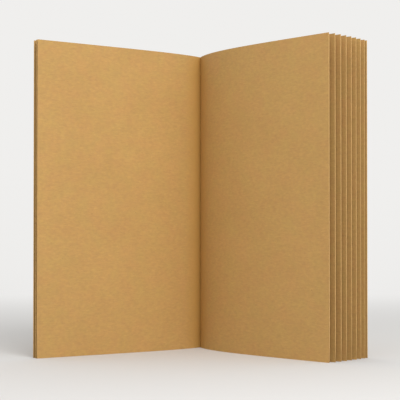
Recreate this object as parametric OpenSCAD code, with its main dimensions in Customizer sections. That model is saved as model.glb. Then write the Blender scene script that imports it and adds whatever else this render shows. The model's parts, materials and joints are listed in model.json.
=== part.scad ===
// Pocket notebook: a folded card cover around nested folded sheets, held by two wire staples
// driven through the fold. It stands open on its tail edges, with the fold upright.
// Millimetres, +Z up, opening towards -Y. The origin is under the middle of the bounding box.

/* [Page] */
// Height of the cover and the leaves, from tail to head
page_h = 140; // [90:1:210]
// Width of the cover and the leaves, from the fold to the fore-edge
page_w = 88; // [60:1:148]
// Thickness of one leaf
leaf_t = 0.25; // [0.2:0.05:0.4]
// Thickness of the cover card
cover_t = 0.4; // [0.3:0.05:1]
// Clear space between neighbouring leaves when the notebook is shut
leaf_gap = 0.05; // [0.03:0.01:0.2]

/* [Opening] */
// Leaves lying with the front cover, on the left of the main opening
left_leaves = 2; // [1:1:9]
// Angle of the back cover, from +X towards -Y
back_angle = 34.6; // [0:0.1:60]
// Angle between the back cover and the last leaf
back_gap = 1.2; // [0:0.1:10]
// Angle between neighbouring leaves on the right
right_gap = 2.17; // [0:0.01:10]
// Angle across the main opening
main_gap = 92.7; // [0:0.1:180]
// Angle between neighbouring leaves on the left
left_gap = 0.75; // [0:0.1:10]
// Angle between the first leaf and the front cover
front_gap = 1.15; // [0:0.1:10]

/* [Staples] */
// Diameter of the staple wire
wire_d = 0.4; // [0.3:0.05:0.5]
// Height of a staple's crown, measured between the middles of its legs
staple_len = 12; // [8:0.5:14]
// Length of each leg's bent tip, inside the fold
staple_tip = 4.6; // [2:0.1:5]
// Distance from the head or tail to the middle of the nearer staple
staple_inset = 34; // [15:1:60]

/* [Hidden] */
$fn = 96;

sheets = 5;
leaves = 2 * sheets;
// Space taken by one leaf in the shut notebook
pitch = leaf_t + leaf_gap;
// Half of the shut stack of leaves, out to the inner face of each cover
stack_half = sheets * pitch + leaf_gap / 2;
cover_half = stack_half + cover_t;

// Radii from the fold's axis: the staple crown, and where the flat leaves begin
wire_r = wire_d / 2;
wire_clear = 0.02;
crown_r = cover_half + wire_r + 0.01;
turn_clear = 0.165;
leaf_start = crown_r + wire_r + turn_clear;
// Each fold runs on past its half-round by this much, towards the leaves
flange_len = 1.2;
// The bent tips lie this far inside the axis, and each bend has this radius
tip_x = 0.5;
bend_r = 0.45;

kraft_cover = [0.70, 0.53, 0.33];
kraft_leaf = [0.77, 0.61, 0.40];
steel = [0.72, 0.72, 0.73];

// Rest direction of each leaf and of the front cover, from +X towards -Y
function leaf_angle(k) =
    k > left_leaves
        ? back_angle + back_gap + right_gap * (leaves - k)
        : back_angle + back_gap + right_gap * (leaves - left_leaves - 1)
            + main_gap + left_gap * (left_leaves - k);
front_angle = leaf_angle(1) + front_gap;
spine_angle = (back_angle + front_angle) / 2;

// Middle of leaf k in the shut stack, measured from the middle towards the front cover
function leaf_offset(k) = (sheets + 0.5 - k) * pitch;

// A point of a piece at direction a: x outwards from the fold, u towards the front cover
function spot(a, x, u) = [x * cos(a) - u * sin(a), -x * sin(a) - u * cos(a)];

// The bounding box's middle, from its four outermost edges
right_x = spot(back_angle, page_w, -cover_half)[0];
left_x = spot(front_angle, page_w, cover_half)[0];
front_y = min([for (k = [1 : leaves]) spot(leaf_angle(k), page_w, leaf_offset(k) + leaf_t / 2)[1]]);
back_y = spot(spine_angle, -crown_r, 0)[1] + wire_r;
middle_x = (left_x + right_x) / 2;
middle_y = (front_y + back_y) / 2;

// Puts a piece, drawn along +X from the fold, at its direction in the open notebook
module turned(a) {
    translate([-middle_x, -middle_y, 0])
        rotate([0, 0, -a])
            children();
}

// A flat rectangular sheet whose middle lies u from the fold's axis, towards the front cover
module flat_sheet(a, u, t) {
    turned(a)
        translate([leaf_start, -u - t / 2, 0])
            cube([page_w - leaf_start, t, page_h]);
}

// The holes that the staple legs pass through
module leg_holes() {
    for (z = [staple_inset, page_h - staple_inset], side = [-1, 1])
        translate([-crown_r - wire_d, 0, z + side * staple_len / 2])
            rotate([0, 90, 0])
                cylinder(r = wire_r + wire_clear, h = crown_r + wire_d);
}

// A half-round fold of inner radius r and thickness t, open towards the leaves
module fold(r, t, flange) {
    turned(spine_angle)
        difference() {
            union() {
                rotate([0, 0, 90])
                    rotate_extrude(angle = 180)
                        translate([r, 0])
                            square([t, page_h]);
                if (flange > 0)
                    for (y = [-r - t, r])
                        translate([0, y, 0])
                            cube([flange, t, page_h]);
            }
            leg_holes();
        }
}

// A quarter turn of wire, from +X round to +Z, about the middle of its bend
module wire_bend() {
    rotate([90, 0, 0])
        rotate_extrude(angle = 90)
            translate([bend_r, 0])
                circle(r = wire_r);
}

// One leg of a staple with both its bends and its tip, above the staple's middle
module staple_leg() {
    leg_z = staple_len / 2;
    // Outer half of the crown
    translate([-crown_r, 0, 0])
        cylinder(r = wire_r, h = leg_z - bend_r);
    translate([-crown_r + bend_r, 0, leg_z - bend_r])
        mirror([1, 0, 0])
            wire_bend();
    translate([-crown_r + bend_r, 0, leg_z])
        rotate([0, 90, 0])
            cylinder(r = wire_r, h = crown_r + tip_x - 2 * bend_r);
    translate([tip_x - bend_r, 0, leg_z - bend_r])
        wire_bend();
    translate([tip_x, 0, leg_z - bend_r - staple_tip])
        cylinder(r = wire_r, h = staple_tip);
}

module staple(z) {
    color(steel)
        turned(spine_angle)
            translate([0, 0, z])
                union() {
                    staple_leg();
                    mirror([0, 0, 1])
                        staple_leg();
                }
}

module back_cover() {
    color(kraft_cover)
        flat_sheet(back_angle, -stack_half - cover_t / 2, cover_t);
}

module front_cover() {
    color(kraft_cover)
        flat_sheet(front_angle, stack_half + cover_t / 2, cover_t);
}

module cover_spine() {
    color(kraft_cover)
        fold(stack_half, cover_t, flange_len);
}

module leaf(k) {
    color(kraft_leaf)
        flat_sheet(leaf_angle(k), leaf_offset(k), leaf_t);
}

// Sheet 1 is the outermost. Sheet s folds between leaf s and leaf 11 - s.
// The innermost fold has no flange, because the staple tips lie there.
module sheet_fold(s) {
    color(kraft_leaf)
        fold(leaf_offset(s) - leaf_t / 2, leaf_t, s < sheets ? flange_len : 0);
}

back_cover();
cover_spine();
front_cover();
leaf(1);  // leaf_01
leaf(2);  // leaf_02
leaf(3);  // leaf_03
leaf(4);  // leaf_04
leaf(5);  // leaf_05
leaf(6);  // leaf_06
leaf(7);  // leaf_07
leaf(8);  // leaf_08
leaf(9);  // leaf_09
leaf(10);  // leaf_10
sheet_fold(1);  // sheet_1_fold
sheet_fold(2);  // sheet_2_fold
sheet_fold(3);  // sheet_3_fold
sheet_fold(4);  // sheet_4_fold
sheet_fold(5);  // sheet_5_fold
staple(page_h - staple_inset);  // staple_upper
staple(staple_inset);  // staple_lower
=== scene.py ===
"""Pocket notebook of kraft paper, standing open on its tail edges.

Each sheet is drawn as a thin bowed surface that starts on the fold and follows its own body.
Lengths are in metres unless a name ends in _mm, and the fold is upright, along Z.
"""

import json
import math

import bmesh
import bpy
import numpy as np
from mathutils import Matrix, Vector


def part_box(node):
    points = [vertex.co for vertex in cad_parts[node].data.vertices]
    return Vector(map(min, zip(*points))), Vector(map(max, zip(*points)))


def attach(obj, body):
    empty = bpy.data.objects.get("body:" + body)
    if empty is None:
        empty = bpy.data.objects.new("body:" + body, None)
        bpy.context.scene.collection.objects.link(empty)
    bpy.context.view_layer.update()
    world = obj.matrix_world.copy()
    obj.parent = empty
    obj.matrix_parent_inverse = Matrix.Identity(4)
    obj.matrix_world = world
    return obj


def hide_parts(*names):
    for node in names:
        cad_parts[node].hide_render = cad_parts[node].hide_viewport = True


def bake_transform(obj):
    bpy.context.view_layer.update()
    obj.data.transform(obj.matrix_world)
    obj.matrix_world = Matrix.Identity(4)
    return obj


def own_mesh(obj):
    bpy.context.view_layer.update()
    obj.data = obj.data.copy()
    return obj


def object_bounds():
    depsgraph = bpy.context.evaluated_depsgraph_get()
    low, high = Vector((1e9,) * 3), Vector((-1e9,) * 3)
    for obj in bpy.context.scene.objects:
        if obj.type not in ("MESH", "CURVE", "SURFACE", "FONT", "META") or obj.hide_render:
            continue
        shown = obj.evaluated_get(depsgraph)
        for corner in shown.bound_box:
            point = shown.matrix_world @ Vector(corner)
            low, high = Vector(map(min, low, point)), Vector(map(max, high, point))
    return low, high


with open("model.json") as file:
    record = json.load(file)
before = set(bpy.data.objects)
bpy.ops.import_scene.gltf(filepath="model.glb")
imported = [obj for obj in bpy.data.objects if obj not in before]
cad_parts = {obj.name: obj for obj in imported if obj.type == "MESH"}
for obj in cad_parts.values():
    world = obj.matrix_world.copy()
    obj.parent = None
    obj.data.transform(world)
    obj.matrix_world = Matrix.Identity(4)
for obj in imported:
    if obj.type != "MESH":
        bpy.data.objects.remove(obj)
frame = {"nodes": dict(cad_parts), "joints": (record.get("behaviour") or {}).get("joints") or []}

bl_info = {
    "name": "Pocket notebook",
    "version": (1, 0, 0),
    "blender": (4, 5, 0),
    "location": "3D View > Sidebar > Notebook",
    "description": "Builds a stapled kraft pocket notebook around its packed frame",
    "category": "Object",
}

MM = 0.001
CAD_BOX = [list(corner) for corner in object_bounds()]
FOLD_AXIS = np.array(frame["joints"][0]["pos_m"][:2])
TAIL = CAD_BOX[0][2]
HEAD = CAD_BOX[1][2]

LEAVES = 10
SHEETS = LEAVES // 2
LEFT_LEAVES = 2
# What turns with the left side of the main opening
OPENING_LEFT = ("front_cover", "leaf_01", "leaf_02")

# How finely the sheets and folds are drawn. A sheet's steps are shorter near its fold.
SHEET_STEPS = 56
STEPS_CROWD = 1.7
FOLD_STEPS = 28
ROWS = 14
# A sheet's start bends over to its own fold within about this distance
START_FADE = 5 * MM
# The grain of each cover half starts about this far round from the middle of the cover's fold
COVER_GRAIN_MM = 2.5

# Staples: wire, bends, and where the bent tips lie inside the fold
STAPLE_WIRE_RADIUS = 0.2 * MM
STAPLE_BEND = 0.45 * MM
STAPLE_TIP = 4.6 * MM
STAPLE_TIP_AT = 0.5 * MM
WIRE_SIDES = 14
BEND_STEPS = 6


# ---------------------------------------------------------------- settings


def length_setting(name, description, default, low, high):
    return bpy.props.FloatProperty(
        name=name, description=description, default=default, min=low, max=high,
        precision=5, unit="LENGTH", subtype="DISTANCE",
    )


def angle_setting(name, description, default, low, high):
    return bpy.props.FloatProperty(
        name=name, description=description, default=math.radians(default),
        min=math.radians(low), max=math.radians(high), unit="ROTATION", subtype="ANGLE",
    )


def share_setting(name, description, default):
    return bpy.props.FloatProperty(
        name=name, description=description, default=default, min=0, max=1, subtype="FACTOR",
    )


def number_setting(name, description, default, low, high):
    return bpy.props.FloatProperty(
        name=name, description=description, default=default, min=low, max=high,
    )


def colour_setting(name, description, default):
    return bpy.props.FloatVectorProperty(
        name=name, description=description, default=default, min=0, max=4, size=3,
        subtype="COLOR",
    )


class NotebookShape(bpy.types.PropertyGroup):
    """How the paper bows as it leaves the fold"""

    right_lift: angle_setting(
        "Right lift", "Angle by which the top right leaf leaves the fold ahead of its chord",
        24.5, 0, 40,
    )
    right_relax: length_setting(
        "Right relax", "Distance over which the right leaves' bend fades out",
        18.5 * MM, 5 * MM, 40 * MM,
    )
    right_fade: share_setting(
        "Right fade", "Share of the bow lost from each right leaf to the one behind it", 0.07
    )
    left_lift: angle_setting(
        "Left lift", "Angle by which the top left leaf leaves the fold ahead of its chord",
        17.1, 0, 40,
    )
    left_relax: length_setting(
        "Left relax", "Distance over which the left leaves' bend fades out",
        13.8 * MM, 5 * MM, 40 * MM,
    )
    left_fade: share_setting(
        "Left fade", "Share of the bow lost from each left leaf to the one behind it", 0.12
    )
    cover_bow: share_setting("Cover bow", "Bow of each cover, as a share of the top leaf's", 0.12)


class NotebookColours(bpy.types.PropertyGroup):
    """Colours of the paper, the card and the wire"""

    page: colour_setting("Page", "Kraft paper of the leaves", (0.455, 0.264, 0.068))
    cover: colour_setting("Cover", "Kraft card of the cover", (0.415, 0.24, 0.058))
    edge: colour_setting("Cut edge", "Trimmed edges of the leaves and cover", (0.70, 0.45, 0.19))
    wire: colour_setting("Wire", "Steel of the staples", (0.62, 0.62, 0.63))
    mottle: share_setting("Mottle", "How far the paper's tone varies from place to place", 0.45)


class NotebookStage(bpy.types.PropertyGroup):
    """Floor, light and camera"""

    floor: colour_setting("Floor", "Pale floor", (0.65, 0.645, 0.637))
    horizon: colour_setting("Horizon", "Surround's light at the horizon", (0.87, 0.862, 0.848))
    overhead: number_setting(
        "Overhead", "Surround's light overhead, as a multiple of the horizon's", 1.2, 0, 4
    )
    side_fall: share_setting(
        "Side fall", "Share of the surround's light lost to the left and right", 0.35
    )
    key_power: number_setting(
        "Key light", "Power of the soft light above and to the right of the lens, in watts",
        2.75, 0, 200,
    )
    camera_distance: length_setting(
        "Camera distance", "Distance from the camera to the fold", 560 * MM, 200 * MM, 2
    )
    camera_height: length_setting(
        "Camera height", "Height of the lens above the floor", 53.4 * MM, 0, 1
    )
    camera_side: length_setting(
        "Camera side", "How far the lens is to the right of the fold", 8.57 * MM, -1, 1
    )
    camera_tilt: angle_setting("Camera tilt", "How far the lens looks up", 0.9, -10, 10)
    focal_length: number_setting("Focal length", "Focal length in millimetres", 104.5, 20, 300)


# ---------------------------------------------------------------- flat pieces of the frame


def plan_points(node):
    """The corners of one of the frame's pieces, seen from above and measured from the fold's axis."""
    return np.array([v.co for v in frame["nodes"][node].data.vertices])[:, :2] - FOLD_AXIS


class Plate:
    """A flat piece of the frame in plan: its direction from the fold, its offset and its reach."""

    def __init__(self, node):
        points = plan_points(node)
        middle = points.mean(0)
        longest = np.linalg.svd(points - middle, full_matrices=False)[2][0]
        self.along = longest if longest @ middle > 0 else -longest
        # Clockwise from the sheet, which is the side that the front cover closes on
        self.across = np.array([self.along[1], -self.along[0]])
        self.offset = float((points @ self.across).mean())
        self.reach = float((points @ self.along).max())
        self.thickness = float(np.ptp(points @ self.across))


def leaf_name(number):
    return f"leaf_{number:02d}"


FLAT_NODES = ["front_cover", "back_cover"] + [leaf_name(k) for k in range(1, LEAVES + 1)]
PLATES = {node: Plate(node) for node in FLAT_NODES}


def bow_of(node, shape):
    """(signed lift angle, relax distance) of a sheet's bow. Positive is towards the front cover."""
    if node == "front_cover":
        return -shape.left_lift * shape.cover_bow, shape.left_relax
    if node == "back_cover":
        return shape.right_lift * shape.cover_bow, shape.right_relax
    number = int(node[-2:])
    if number <= LEFT_LEAVES:
        behind = LEFT_LEAVES - number
        return -shape.left_lift * (1 - shape.left_fade * behind), shape.left_relax
    behind = number - LEFT_LEAVES - 1
    return shape.right_lift * (1 - shape.right_fade * behind), shape.right_relax


def sheet_path(node, shape):
    """A sheet's line in plan, from its place on the fold to its outer edge."""
    plate = PLATES[node]
    lift, relax = bow_of(node, shape)
    # More steps near the fold, where the bend is
    out = plate.reach * np.linspace(0, 1, SHEET_STEPS + 1) ** STEPS_CROWD
    fullness = 1 - math.exp(-plate.reach / relax)
    fall = math.tan(lift) / (plate.reach / (relax * fullness) - 1)
    rise = fall * plate.reach / fullness
    bow = rise * (1 - np.exp(-out / relax)) - fall * out
    # The sheet starts where its first direction touches the circle of its own fold
    near = np.exp(-out / START_FADE)
    along = out - plate.offset * math.sin(lift) * near
    across = bow + plate.offset * (1 + (math.cos(lift) - 1) * near)
    return FOLD_AXIS + np.outer(along, plate.along) + np.outer(across, plate.across)


def fold_path(right_start, left_start):
    """An arc about the fold's axis, from a right sheet's start round the back to a left sheet's."""
    a, b = right_start - FOLD_AXIS, left_start - FOLD_AXIS
    radius = (np.linalg.norm(a) + np.linalg.norm(b)) / 2
    first, last = math.atan2(a[1], a[0]), math.atan2(b[1], b[0])
    if last < first:
        last += 2 * math.pi
    turn = np.linspace(first, last, FOLD_STEPS + 1)
    return FOLD_AXIS + radius * np.column_stack([np.cos(turn), np.sin(turn)])


# ---------------------------------------------------------------- meshes


def new_object(name, vertices, faces):
    mesh = bpy.data.meshes.new(name)
    mesh.from_pydata([tuple(v) for v in vertices], [], faces)
    mesh.validate()
    mesh.update()
    made = bpy.data.objects.new(name, mesh)
    bpy.context.scene.collection.objects.link(made)
    return made


def step_lengths(path):
    """The length of each step of a line in plan."""
    return np.linalg.norm(np.diff(path, axis=0), axis=1)


def sharpen_rim(mesh):
    """Every edge with a face on one side only is sharp, so the cut edges are shaded crisply."""
    uses = {}
    for polygon in mesh.polygons:
        for key in polygon.edge_keys:
            uses[key] = uses.get(key, 0) + 1
    sharp = mesh.attributes.new("sharp_edge", "BOOLEAN", "EDGE")
    for edge in mesh.edges:
        sharp.data[edge.index].value = uses[edge.key] == 1


def upright_sheet(name, path, thickness, surface, cut_edge, grain_start_mm=0.0):
    """A thin upright sheet over a line in plan, with its grain laid out in millimetres."""
    heights = np.linspace(TAIL, HEAD, ROWS + 1)
    columns = len(path)
    vertices = [(x, y, z) for z in heights for x, y in path]
    corners = (0, 1, columns + 1, columns)
    faces = [
        tuple(row * columns + i + corner for corner in corners)
        for row in range(ROWS)
        for i in range(columns - 1)
    ]
    made = new_object(name, vertices, faces)
    mesh = made.data
    run = np.concatenate([[0], np.cumsum(step_lengths(path))]) / MM
    grain = mesh.uv_layers.new(name="grain")
    for loop in mesh.loops:
        row, column = divmod(loop.vertex_index, columns)
        grain.data[loop.index].uv = (grain_start_mm + run[column], (heights[row] - TAIL) / MM)
    mesh.polygons.foreach_set("use_smooth", [True] * len(mesh.polygons))
    sharpen_rim(mesh)
    mesh.materials.append(surface)
    mesh.materials.append(cut_edge)
    body = made.modifiers.new("thickness", "SOLIDIFY")
    body.thickness = thickness
    body.offset = 0
    body.material_offset_rim = 1
    return made


def wire_along(name, points, material):
    """Round staple wire along a smooth line, closed at both ends."""
    points = [Vector(p) for p in points]
    mesh = bpy.data.meshes.new(name)
    bm = bmesh.new()
    normal = None
    rings = []
    for i, point in enumerate(points):
        ahead = points[min(i + 1, len(points) - 1)] - points[max(i - 1, 0)]
        ahead.normalize()
        if normal is None:
            normal = ahead.orthogonal().normalized()
        normal = (normal - ahead * normal.dot(ahead)).normalized()
        side = ahead.cross(normal)
        ring = []
        for k in range(WIRE_SIDES):
            turn = 2 * math.pi * k / WIRE_SIDES
            outward = math.cos(turn) * normal + math.sin(turn) * side
            ring.append(bm.verts.new(point + STAPLE_WIRE_RADIUS * outward))
        rings.append(ring)
    for a, b in zip(rings, rings[1:]):
        for k in range(WIRE_SIDES):
            after = (k + 1) % WIRE_SIDES
            bm.faces.new((a[k], a[after], b[after], b[k]))
    bm.faces.new(reversed(rings[0]))
    bm.faces.new(rings[-1])
    for face in bm.faces:
        # The two end caps are flat, and have more corners than the strips along the wire
        face.smooth = len(face.verts) == 4
    bmesh.ops.recalc_face_normals(bm, faces=bm.faces)
    bm.to_mesh(mesh)
    bm.free()
    made = bpy.data.objects.new(name, mesh)
    bpy.context.scene.collection.objects.link(made)
    mesh.materials.append(material)
    return made


def bend_points(centre, first, last):
    """Points round a wire's bend, as (out from the axis, up)."""
    turns = [math.radians(first + (last - first) * i / BEND_STEPS) for i in range(BEND_STEPS + 1)]
    return [(centre[0] + STAPLE_BEND * math.cos(t), centre[1] + STAPLE_BEND * math.sin(t)) for t in turns]


def staple_line(crown, leg):
    """A staple's middle line from tip to tip, as (out from the axis, up from its middle)."""
    bend_up = leg - STAPLE_BEND
    half = [(crown, leg * share) for share in (0, 0.3, 0.6)]
    half += bend_points((crown - STAPLE_BEND, bend_up), 0, 90)
    half += bend_points((STAPLE_BEND - STAPLE_TIP_AT, bend_up), 90, 180)
    half += [(-STAPLE_TIP_AT, bend_up - STAPLE_TIP / 2), (-STAPLE_TIP_AT, bend_up - STAPLE_TIP)]
    return [(out, -up) for out, up in reversed(half[1:])] + half


# ---------------------------------------------------------------- materials

# Nearly all of a noise's values lie in this span
NOISE_SPAN = (0.3, 0.7)

# Paper and card. Noise scales are per millimetre of page.
CLOUD_SCALE = 0.06
FLOCK_SCALE = 0.7
FLOCK_STRETCH = (0.8, 1.15, 1)
# Scale, stretch, turn in radians and seed of each layer of fibres
FIBRE_LAYERS = (
    (1.25, (0.3, 1.4, 1), 0.22, 11),
    (1.4, (0.32, 1.5, 1), -0.38, 17),
    (1.2, (0.38, 1.4, 1), 1.2, 23),
)
# Shares of clouds, flock and fibres in the paper's tone, and the span that goes from dark to light
TONE_SHARES = (0.12, 0.46, 0.14)
TONE_SPAN = (0.335, 0.665)
# How much darker or lighter the tone gets at full mottle, and how much warmer where it is dark
TONE_SWING = 0.42
TONE_WARMTH = 0.045
# Patches a few millimetres wide, and what makes them pinker
PATCH_SCALE = 0.13
PATCH_SPAN = (0.35, 0.65)
PINKER = (1.04, 0.968, 1.03)
# Single fibres and flecks show only where their noise peaks, from nothing to full
PALE_PEAK = (0.64, 0.72)
DARK_PEAK = (0.65, 0.74)
FLECK_PEAK = (0.83, 0.85)
FLECK_SCALE = 0.9
# Painted shade: a page is painted darker and more saturated towards its crease over this many
# millimetres, by this tint in red, green and blue
FOLD_SHADE_OVER = 11.0
FOLD_SHADE_TINT = (1, 0.91, 0.6)
# The cover's card is worn pale on its fold, from full wear out to none, in millimetres
WORN_TO = 0.6
WORN_FROM = 2.6
# The wear is patchy: its strength follows the flock
WEAR_SPAN = (0.38, 0.62)
WEAR_STRENGTH = (0.15, 0.55)
PAPER_ROUGHNESS = (0.74, 0.9)
PAPER_SPECULAR = 0.9
# Shares of fibres and flock in the paper's relief
RELIEF_SHARES = (0.4, 0.6)
PAPER_RELIEF = 0.06 * MM

# Cut edges
EDGE_SCALE = 0.9
EDGE_STRETCH = (1, 0.5, 1)
EDGE_ROUGHNESS = (0.85, 0.97)
EDGE_SPECULAR = 0.2
EDGE_RELIEF = 0.04 * MM

# Staple wire. The scale is per metre, and the lines run along the notebook's height.
WIRE_SCALE = 9000
WIRE_STRETCH = (1, 1, 0.05)
WIRE_SPAN = (0.35, 0.65)
WIRE_ROUGHNESS = (0.22, 0.4)
WIRE_RELIEF = 0.01 * MM

# Floor
FLOOR_CLOUD_SCALE = 2.2
FLOOR_ROUGHNESS = 0.9
FLOOR_SPECULAR = 0.1


class Nodes:
    """Short calls for laying out the nodes of a material or of the world."""

    def __init__(self, owner):
        owner.use_nodes = True
        self.owner = owner
        self.tree = owner.node_tree
        self.shader = self.tree.nodes.get("Principled BSDF") or self.tree.nodes["Background"]

    def add(self, kind, inputs=(), **settings):
        node = self.tree.nodes.new(kind)
        for key, value in settings.items():
            setattr(node, key, value)
        for key, value in dict(inputs).items():
            if isinstance(value, bpy.types.NodeSocket):
                self.tree.links.new(value, node.inputs[key])
            else:
                node.inputs[key].default_value = value
        return node

    def math(self, operation, a, b=0.0):
        node = self.add("ShaderNodeMath", {0: a, 1: b}, operation=operation)
        return node.outputs[0]

    def blend_of(self, values, shares):
        """The sum of the values, each taken by its share."""
        parts = [self.math("MULTIPLY", value, share) for value, share in zip(values, shares)]
        total = parts[0]
        for part in parts[1:]:
            total = self.math("ADD", total, part)
        return total

    def noise(self, vector, scale, detail=2.0, roughness=0.5, stretch=None, turn=0.0, seed=0.0):
        mapped = self.add(
            "ShaderNodeMapping",
            {"Vector": vector, "Location": (seed, -seed, seed), "Rotation": (0, 0, turn),
             "Scale": stretch or (1, 1, 1)},
        ).outputs[0]
        node = self.add(
            "ShaderNodeTexNoise",
            {"Vector": mapped, "Scale": scale, "Detail": detail, "Roughness": roughness},
        )
        return node.outputs["Fac"]

    def remap(self, value, low, high, to_low=0.0, to_high=1.0):
        node = self.add(
            "ShaderNodeMapRange",
            {"Value": value, "From Min": low, "From Max": high, "To Min": to_low, "To Max": to_high},
        )
        return node.outputs[0]

    def mix(self, share, a, b):
        node = self.add("ShaderNodeMix", data_type="RGBA")
        for socket, value in ((node.inputs[0], share), (node.inputs[6], a), (node.inputs[7], b)):
            if isinstance(value, bpy.types.NodeSocket):
                self.tree.links.new(value, socket)
            else:
                socket.default_value = value
        return node.outputs[2]

    def link(self, value, socket):
        self.tree.links.new(value, self.shader.inputs[socket])

    def relief(self, height, strength, depth):
        """Fine relief on the shader's surface, up to a depth in metres."""
        bump = self.add("ShaderNodeBump", {"Height": height, "Strength": strength, "Distance": depth})
        self.link(bump.outputs[0], "Normal")


def tone(colour, by, warm=0.0):
    """A colour made lighter or darker, and redder where warm is above 0."""
    r, g, b = colour
    return (r * by * (1 + warm), g * by, b * by * (1 - warm), 1)


# at_fold picks painted shade towards a page's crease, or pale wear on the cover card's fold
def kraft_paper(name, colour, mottle, seed, at_fold="painted_shade"):
    """Uncoated kraft: felted fibres lying mostly along the lines of a page, with rare dark flecks."""
    n = Nodes(bpy.data.materials.new(name))
    place = n.add("ShaderNodeUVMap", uv_map="grain").outputs[0]
    clouds = n.noise(place, CLOUD_SCALE, seed=seed)
    flock = n.noise(
        place, FLOCK_SCALE, detail=4, roughness=0.66, stretch=FLOCK_STRETCH, seed=seed + 5
    )
    layers = [
        n.noise(place, scale, stretch=stretch, turn=turn, seed=seed + shift)
        for scale, stretch, turn, shift in FIBRE_LAYERS
    ]
    fibres = n.math("ADD", n.math("ADD", layers[0], layers[1]), layers[2])
    level = n.remap(n.blend_of((clouds, flock, fibres), TONE_SHARES), *TONE_SPAN)
    darker = tone(colour, 1 - TONE_SWING * mottle, TONE_WARMTH)
    lighter = tone(colour, 1 + TONE_SWING * mottle, -TONE_WARMTH)
    colours = n.mix(level, darker, lighter)
    # Patches that are a little pinker, between others that are a little yellower
    patches = n.noise(place, PATCH_SCALE, detail=3, roughness=0.55, seed=seed + 41)
    pinker = n.add("ShaderNodeVectorMath", {0: colours, 1: PINKER}, operation="MULTIPLY")
    colours = n.mix(n.remap(patches, *PATCH_SPAN), colours, pinker.outputs[0])
    # Single pale fibres, single dark fibres and flecks
    pale = n.remap(layers[1], *PALE_PEAK, 0, 0.5 * mottle)
    colours = n.mix(pale, colours, tone(colour, 1.3, -0.05))
    dark = n.remap(layers[0], *DARK_PEAK, 0, 0.6 * mottle)
    colours = n.mix(dark, colours, tone(colour, 0.66, 0.05))
    flecks = n.noise(place, FLECK_SCALE, detail=1, roughness=0.4, seed=seed + 31)
    colours = n.mix(n.remap(flecks, *FLECK_PEAK, 0, 0.6), colours, tone(colour, 0.4, 0.08))
    across = n.math("ABSOLUTE", n.add("ShaderNodeSeparateXYZ", {0: place}).outputs[0])
    if at_fold == "worn":
        closeness = n.remap(across, WORN_FROM, WORN_TO)
        wear = n.math("MULTIPLY", closeness, n.remap(flock, *WEAR_SPAN, *WEAR_STRENGTH))
        colours = n.mix(wear, colours, tone(colour, 1.22, -0.04))
    else:
        # Painted shade: the paper of a page is painted a deeper, darker brown towards its crease,
        # standing in for the shade in the gutter
        painted_crease_shade = tuple(part * tint for part, tint in zip(colour, FOLD_SHADE_TINT))
        colours = n.mix(n.remap(across, FOLD_SHADE_OVER, 0.0), colours, (*painted_crease_shade, 1))
    n.link(colours, "Base Color")
    n.link(n.remap(flock, *NOISE_SPAN, *PAPER_ROUGHNESS), "Roughness")
    n.shader.inputs["Specular IOR Level"].default_value = PAPER_SPECULAR
    n.relief(n.blend_of((fibres, flock), RELIEF_SHARES), 0.24, PAPER_RELIEF)
    return n.owner


def trimmed_edge(name, colour, seed):
    """The cut edge of paper: paler than the face, with the knife's fine steps along it."""
    n = Nodes(bpy.data.materials.new(name))
    place = n.add("ShaderNodeUVMap", uv_map="grain").outputs[0]
    steps = n.noise(place, EDGE_SCALE, detail=3, roughness=0.6, stretch=EDGE_STRETCH, seed=seed)
    darker, lighter = tone(colour, 0.86, 0.02), tone(colour, 1.12)
    n.link(n.mix(n.remap(steps, *NOISE_SPAN), darker, lighter), "Base Color")
    n.link(n.remap(steps, *NOISE_SPAN, *EDGE_ROUGHNESS), "Roughness")
    n.shader.inputs["Specular IOR Level"].default_value = EDGE_SPECULAR
    n.relief(steps, 0.4, EDGE_RELIEF)
    return n.owner


def drawn_wire(name, colour):
    """Bright drawn steel, with fine lines along the wire."""
    n = Nodes(bpy.data.materials.new(name))
    place = n.add("ShaderNodeTexCoord").outputs["Object"]
    lines = n.noise(place, WIRE_SCALE, stretch=WIRE_STRETCH)
    n.link(n.mix(n.remap(lines, *WIRE_SPAN), tone(colour, 0.85), tone(colour, 1.1)), "Base Color")
    n.link(n.remap(lines, *NOISE_SPAN, *WIRE_ROUGHNESS), "Roughness")
    n.shader.inputs["Metallic"].default_value = 1.0
    n.relief(lines, 0.15, WIRE_RELIEF)
    return n.owner


def surround_colour(n, direction, stage):
    """The surround's light from a direction: stronger overhead, weaker to the left and right."""
    parts = n.add("ShaderNodeSeparateXYZ", {0: direction}).outputs
    rise = n.remap(parts[2], 0, 1, 1, stage.overhead)
    sides = n.remap(n.math("MULTIPLY", parts[0], parts[0]), 0, 1, 1, 1 - stage.side_fall)
    return n.mix(n.math("MULTIPLY", rise, sides), (0, 0, 0, 1), (*stage.horizon, 1))


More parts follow.
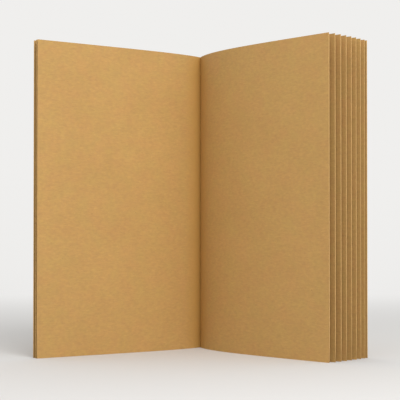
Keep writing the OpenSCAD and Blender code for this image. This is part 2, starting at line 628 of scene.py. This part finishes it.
def soft_floor(name, stage):
    """A plain pale floor that goes over to the surround's own light far away, so no horizon shows."""
    n = Nodes(bpy.data.materials.new(name))
    place = n.add("ShaderNodeTexCoord").outputs["Object"]
    clouds = n.remap(n.noise(place, FLOOR_CLOUD_SCALE), *NOISE_SPAN)
    n.link(n.mix(clouds, tone(stage.floor, 0.994), tone(stage.floor, 1.006)), "Base Color")
    n.shader.inputs["Roughness"].default_value = FLOOR_ROUGHNESS
    n.shader.inputs["Specular IOR Level"].default_value = FLOOR_SPECULAR
    away = n.add("ShaderNodeVectorMath", {0: place}, operation="NORMALIZE").outputs[0]
    glow = n.add("ShaderNodeEmission", {"Color": surround_colour(n, away, stage)}).outputs[0]
    radius = n.add("ShaderNodeVectorMath", {0: place}, operation="LENGTH").outputs["Value"]
    far = n.add(
        "ShaderNodeMapRange",
        {"Value": radius, "From Min": FLOOR_FADE[0], "From Max": FLOOR_FADE[1]},
        interpolation_type="SMOOTHSTEP",
    ).outputs[0]
    both = n.add("ShaderNodeMixShader", {0: far, 1: n.shader.outputs[0], 2: glow}).outputs[0]
    n.tree.links.new(both, n.tree.nodes["Material Output"].inputs["Surface"])
    return n.owner


def shared(name, make, *arguments, **settings):
    """The material of that name, made the first time it is asked for."""
    return bpy.data.materials.get(name) or make(name, *arguments, **settings)


def flatten_shut(piece):
    """The piece gets a mesh of its own; nothing here flattens it as the notebook is shut or laid open."""
    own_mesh(piece)


# ---------------------------------------------------------------- operators


class NOTEBOOK_OT_leaves(bpy.types.Operator):
    """Draw the ten leaves, bowed as they leave the fold"""

    bl_idname = "notebook.leaves"
    bl_label = "Leaves"

    def execute(self, context):
        shape, colours = context.scene.notebook_shape, context.scene.notebook_colours
        edge = shared("trimmed_paper_edge", trimmed_edge, colours.edge, 3.0)
        for number in range(1, LEAVES + 1):
            node = leaf_name(number)
            paper = kraft_paper(f"kraft_page_{number:02d}", colours.page, colours.mottle, 13.7 * number)
            piece = upright_sheet(
                f"page_{number:02d}", sheet_path(node, shape), PLATES[node].thickness, paper, edge
            )
            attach(piece, node)
            flatten_shut(piece)
            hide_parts(node)
        return {"FINISHED"}


class NOTEBOOK_OT_covers(bpy.types.Operator):
    """Draw the front and back halves of the card cover"""

    bl_idname = "notebook.covers"
    bl_label = "Covers"

    def execute(self, context):
        shape, colours = context.scene.notebook_shape, context.scene.notebook_colours
        edge = shared("trimmed_card_edge", trimmed_edge, colours.edge, 8.0)
        card = shared("kraft_card", kraft_paper, colours.cover, colours.mottle, 71.0, at_fold="worn")
        for node in ("front_cover", "back_cover"):
            piece = upright_sheet(
                f"{node}_card", sheet_path(node, shape), PLATES[node].thickness, card, edge,
                grain_start_mm=COVER_GRAIN_MM,
            )
            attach(piece, node)
            flatten_shut(piece)
            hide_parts(node)
        return {"FINISHED"}


class NOTEBOOK_OT_folds(bpy.types.Operator):
    """Draw the fold of the cover and of each nested sheet"""

    bl_idname = "notebook.folds"
    bl_label = "Folds"

    def execute(self, context):
        shape, colours = context.scene.notebook_shape, context.scene.notebook_colours
        paper_edge = shared("trimmed_paper_edge", trimmed_edge, colours.edge, 3.0)
        card_edge = shared("trimmed_card_edge", trimmed_edge, colours.edge, 8.0)
        card = shared("kraft_card", kraft_paper, colours.cover, colours.mottle, 71.0, at_fold="worn")
        paper = kraft_paper("kraft_sheet_fold", colours.page, colours.mottle, 41.0)
        folds = [("cover_spine", "back_cover", "front_cover", card, card_edge, "cover_card")]
        folds += [
            (f"sheet_{s}_fold", leaf_name(LEAVES + 1 - s), leaf_name(s), paper, paper_edge, "page_paper")
            for s in range(1, SHEETS + 1)
        ]
        for node, right, left, surface, edge, slot in folds:
            path = fold_path(sheet_path(right, shape)[0], sheet_path(left, shape)[0])
            # The grain is counted from the middle of the fold
            grain_start_mm = -step_lengths(path).sum() / MM / 2
            piece = upright_sheet(
                f"{node}_bend", path, PLATES[right].thickness, surface, edge, grain_start_mm
            )
            if left in OPENING_LEFT:
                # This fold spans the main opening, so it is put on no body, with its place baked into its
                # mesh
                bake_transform(piece)
            else:
                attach(piece, "leaf_06")
            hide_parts(node)
        return {"FINISHED"}


class NOTEBOOK_OT_staples(bpy.types.Operator):
    """Draw the two wire staples through the fold"""

    bl_idname = "notebook.staples"
    bl_label = "Staples"

    def execute(self, context):
        colours = context.scene.notebook_colours
        wire = shared("staple_wire_steel", drawn_wire, colours.wire)
        spine = plan_points("cover_spine")
        outward = spine.mean(0) / np.linalg.norm(spine.mean(0))
        for node in ("staple_upper", "staple_lower"):
            low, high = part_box(node)
            crown = float((plan_points(node) @ outward).max()) - STAPLE_WIRE_RADIUS
            middle, leg = (low.z + high.z) / 2, (high.z - low.z) / 2 - STAPLE_WIRE_RADIUS
            line = staple_line(crown, leg)
            points = [(*(FOLD_AXIS + outward * out), middle + up) for out, up in line]
            piece = wire_along(f"{node}_wire", points, wire)
            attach(piece, "spine")
            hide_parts(node)
        return {"FINISHED"}


CAMERA_SHIFT = (-0.05, 0.0455)
CAMERA_CLIP = (0.01, 20)
SENSOR_WIDTH_MM = 36
# The floor lies this far under the tail edges, and fades into the surround between two radii
FLOOR_GAP = 0.02 * MM
FLOOR_FADE = (0.1, 0.6)
FLOOR_RINGS = (0.15, 0.4, 0.9, 1.8, 4.0, 9.0)
FLOOR_SIDES = 96
KEY_SIZE = 0.42
KEY_PLACE = (0.19, -0.5, 0.46)
KEY_AIM = (0, 0, 0.07)


class NOTEBOOK_OT_stage(bpy.types.Operator):
    """Lay the floor, light the notebook and place the camera"""

    bl_idname = "notebook.stage"
    bl_label = "Stage"

    def execute(self, context):
        scene, stage = context.scene, context.scene.notebook_stage
        self.lay_floor(stage)
        self.light(scene, stage)
        camera = bpy.data.objects.new("camera", bpy.data.cameras.new("camera"))
        scene.collection.objects.link(camera)
        camera.location = (
            FOLD_AXIS[0] + stage.camera_side, FOLD_AXIS[1] - stage.camera_distance, stage.camera_height
        )
        camera.rotation_euler = (math.radians(90) + stage.camera_tilt, 0, 0)
        camera.data.lens = stage.focal_length
        camera.data.sensor_width = SENSOR_WIDTH_MM
        camera.data.shift_x, camera.data.shift_y = CAMERA_SHIFT
        camera.data.clip_start, camera.data.clip_end = CAMERA_CLIP
        scene.camera = camera
        scene.view_settings.view_transform = "Standard"
        scene.view_settings.look = "None"
        return {"FINISHED"}

    def lay_floor(self, stage):
        level = TAIL - FLOOR_GAP
        vertices = [(0, 0, level)]
        for radius in FLOOR_RINGS:
            for k in range(FLOOR_SIDES):
                turn = 2 * math.pi * k / FLOOR_SIDES
                vertices.append((radius * math.cos(turn), radius * math.sin(turn), level))
        sides = [(k, (k + 1) % FLOOR_SIDES) for k in range(FLOOR_SIDES)]
        faces = [(0, 1 + k, 1 + after) for k, after in sides]
        for ring in range(len(FLOOR_RINGS) - 1):
            a = 1 + ring * FLOOR_SIDES
            b = a + FLOOR_SIDES
            faces += [(a + k, b + k, b + after, a + after) for k, after in sides]
        floor = new_object("floor", vertices, faces)
        floor.data.materials.append(soft_floor("pale_floor", stage))

    def light(self, scene, stage):
        n = Nodes(bpy.data.worlds.new("surround"))
        n.link(surround_colour(n, n.add("ShaderNodeTexCoord").outputs["Generated"], stage), "Color")
        scene.world = n.owner
        key = bpy.data.lights.new("key", "AREA")
        key.shape = "DISK"
        key.size = KEY_SIZE
        key.energy = stage.key_power
        lamp = bpy.data.objects.new("key", key)
        scene.collection.objects.link(lamp)
        lamp.visible_camera = False
        lamp.location = KEY_PLACE
        aim = Vector(KEY_AIM) - Vector(KEY_PLACE)
        lamp.rotation_euler = aim.to_track_quat("-Z", "Y").to_euler()


class NOTEBOOK_PT_panel(bpy.types.Panel):
    """The notebook's builders and settings"""

    bl_idname = "NOTEBOOK_PT_panel"
    bl_label = "Pocket notebook"
    bl_space_type = "VIEW_3D"
    bl_region_type = "UI"
    bl_category = "Notebook"

    def draw(self, context):
        for operator in BUILDERS:
            self.layout.operator(operator.bl_idname)
        for name in SETTINGS:
            box = self.layout.box()
            group = getattr(context.scene, name)
            for key in group.__annotations__:
                box.prop(group, key)


BUILDERS = (
    NOTEBOOK_OT_leaves,
    NOTEBOOK_OT_covers,
    NOTEBOOK_OT_folds,
    NOTEBOOK_OT_staples,
    NOTEBOOK_OT_stage,
)
SETTINGS = {
    "notebook_shape": NotebookShape,
    "notebook_colours": NotebookColours,
    "notebook_stage": NotebookStage,
}
CLASSES = (*SETTINGS.values(), *BUILDERS, NOTEBOOK_PT_panel)


def register():
    for cls in CLASSES:
        bpy.utils.register_class(cls)
    for name, group in SETTINGS.items():
        setattr(bpy.types.Scene, name, bpy.props.PointerProperty(type=group))


def unregister():
    for name in SETTINGS:
        delattr(bpy.types.Scene, name)
    for cls in reversed(CLASSES):
        bpy.utils.unregister_class(cls)


def main():
    register()
    bpy.ops.notebook.leaves()
    bpy.ops.notebook.covers()
    bpy.ops.notebook.folds()
    bpy.ops.notebook.staples()
    bpy.ops.notebook.stage()


if __name__ == "__main__":
    main()
